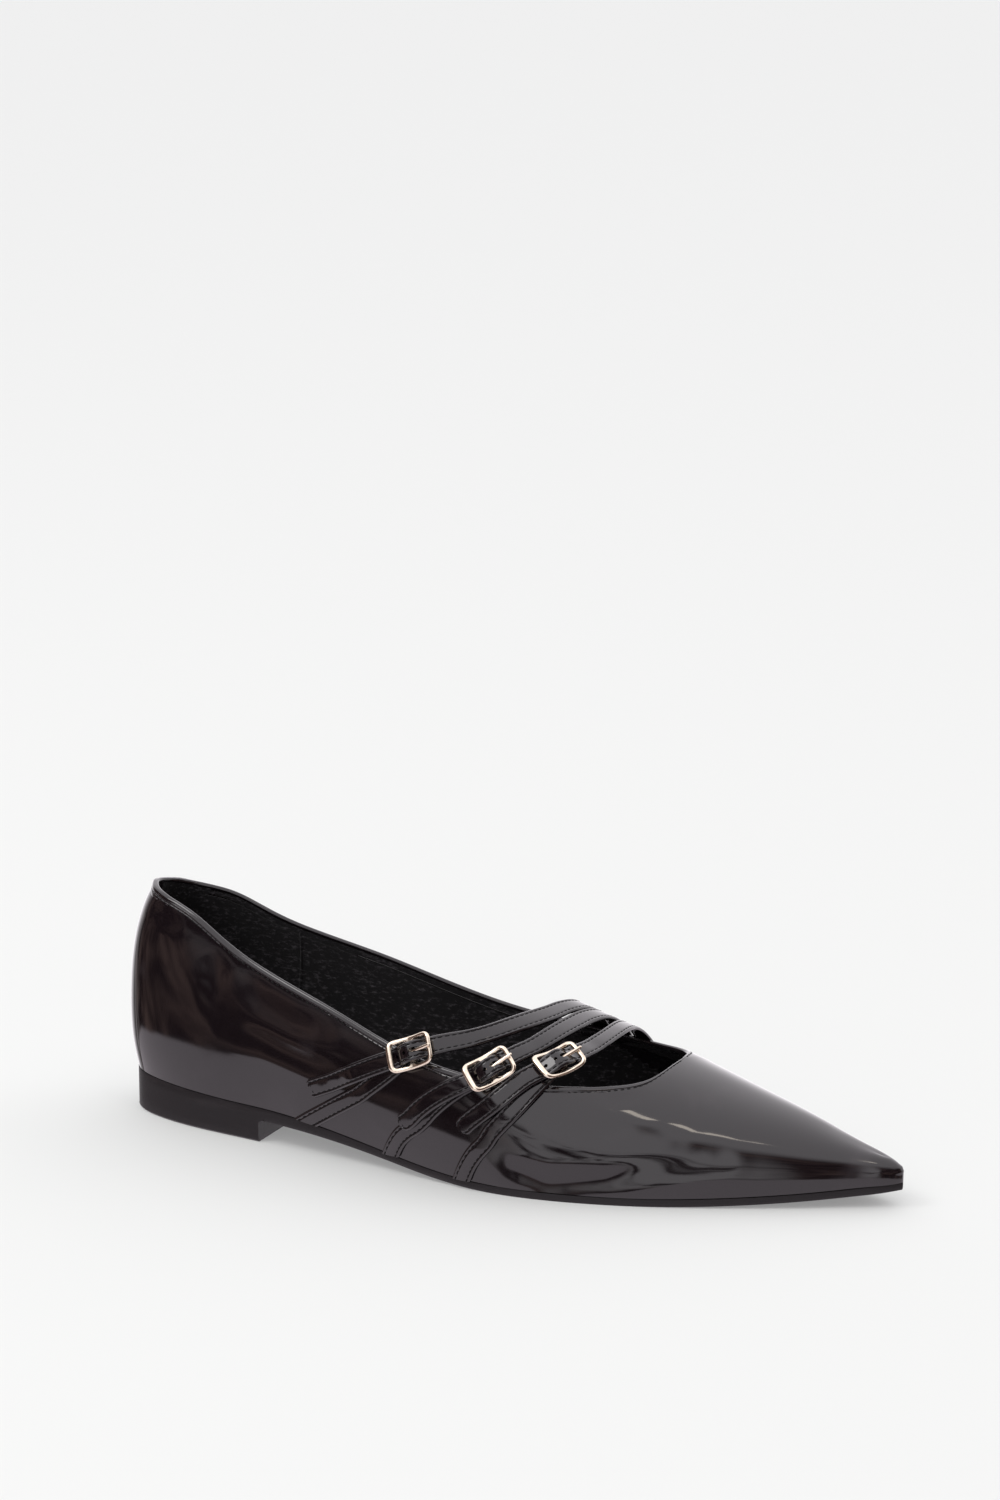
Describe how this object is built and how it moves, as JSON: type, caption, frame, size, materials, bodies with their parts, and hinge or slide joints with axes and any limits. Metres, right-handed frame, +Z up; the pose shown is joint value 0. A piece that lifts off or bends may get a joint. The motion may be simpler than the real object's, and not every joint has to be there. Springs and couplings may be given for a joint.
{
  "type": "ballet flat",
  "caption": "Pointed ballet flat in patent leather: low block heel, open collar and throat, buckled straps across the instep.",
  "frame": {"origin": "on the floor, under the middle of the heel", "axes": "+X towards the toe, +Y towards the inner side of the foot, +Z up"},
  "size_m": [0.2665, 0.0814, 0.0756],
  "materials": {
    "patent_leather": "high gloss patent",
    "sole": "matte",
    "lining": "matte with a fine nap",
    "buckle_metal": "polished, pale gold plating"
  },
  "bodies": {
    "root": {"upper": "patent_leather", "sole_unit": "sole", "insole": "lining", "strap_1": "patent_leather", "strap_2": "patent_leather", "strap_3": "patent_leather", "chape_1": "patent_leather", "chape_2": "patent_leather", "chape_3": "patent_leather", "buckle_1": "buckle_metal", "buckle_2": "buckle_metal", "buckle_3": "buckle_metal", "prong_1": "buckle_metal", "prong_2": "buckle_metal", "prong_3": "buckle_metal"}
  },
  "joints": []
}
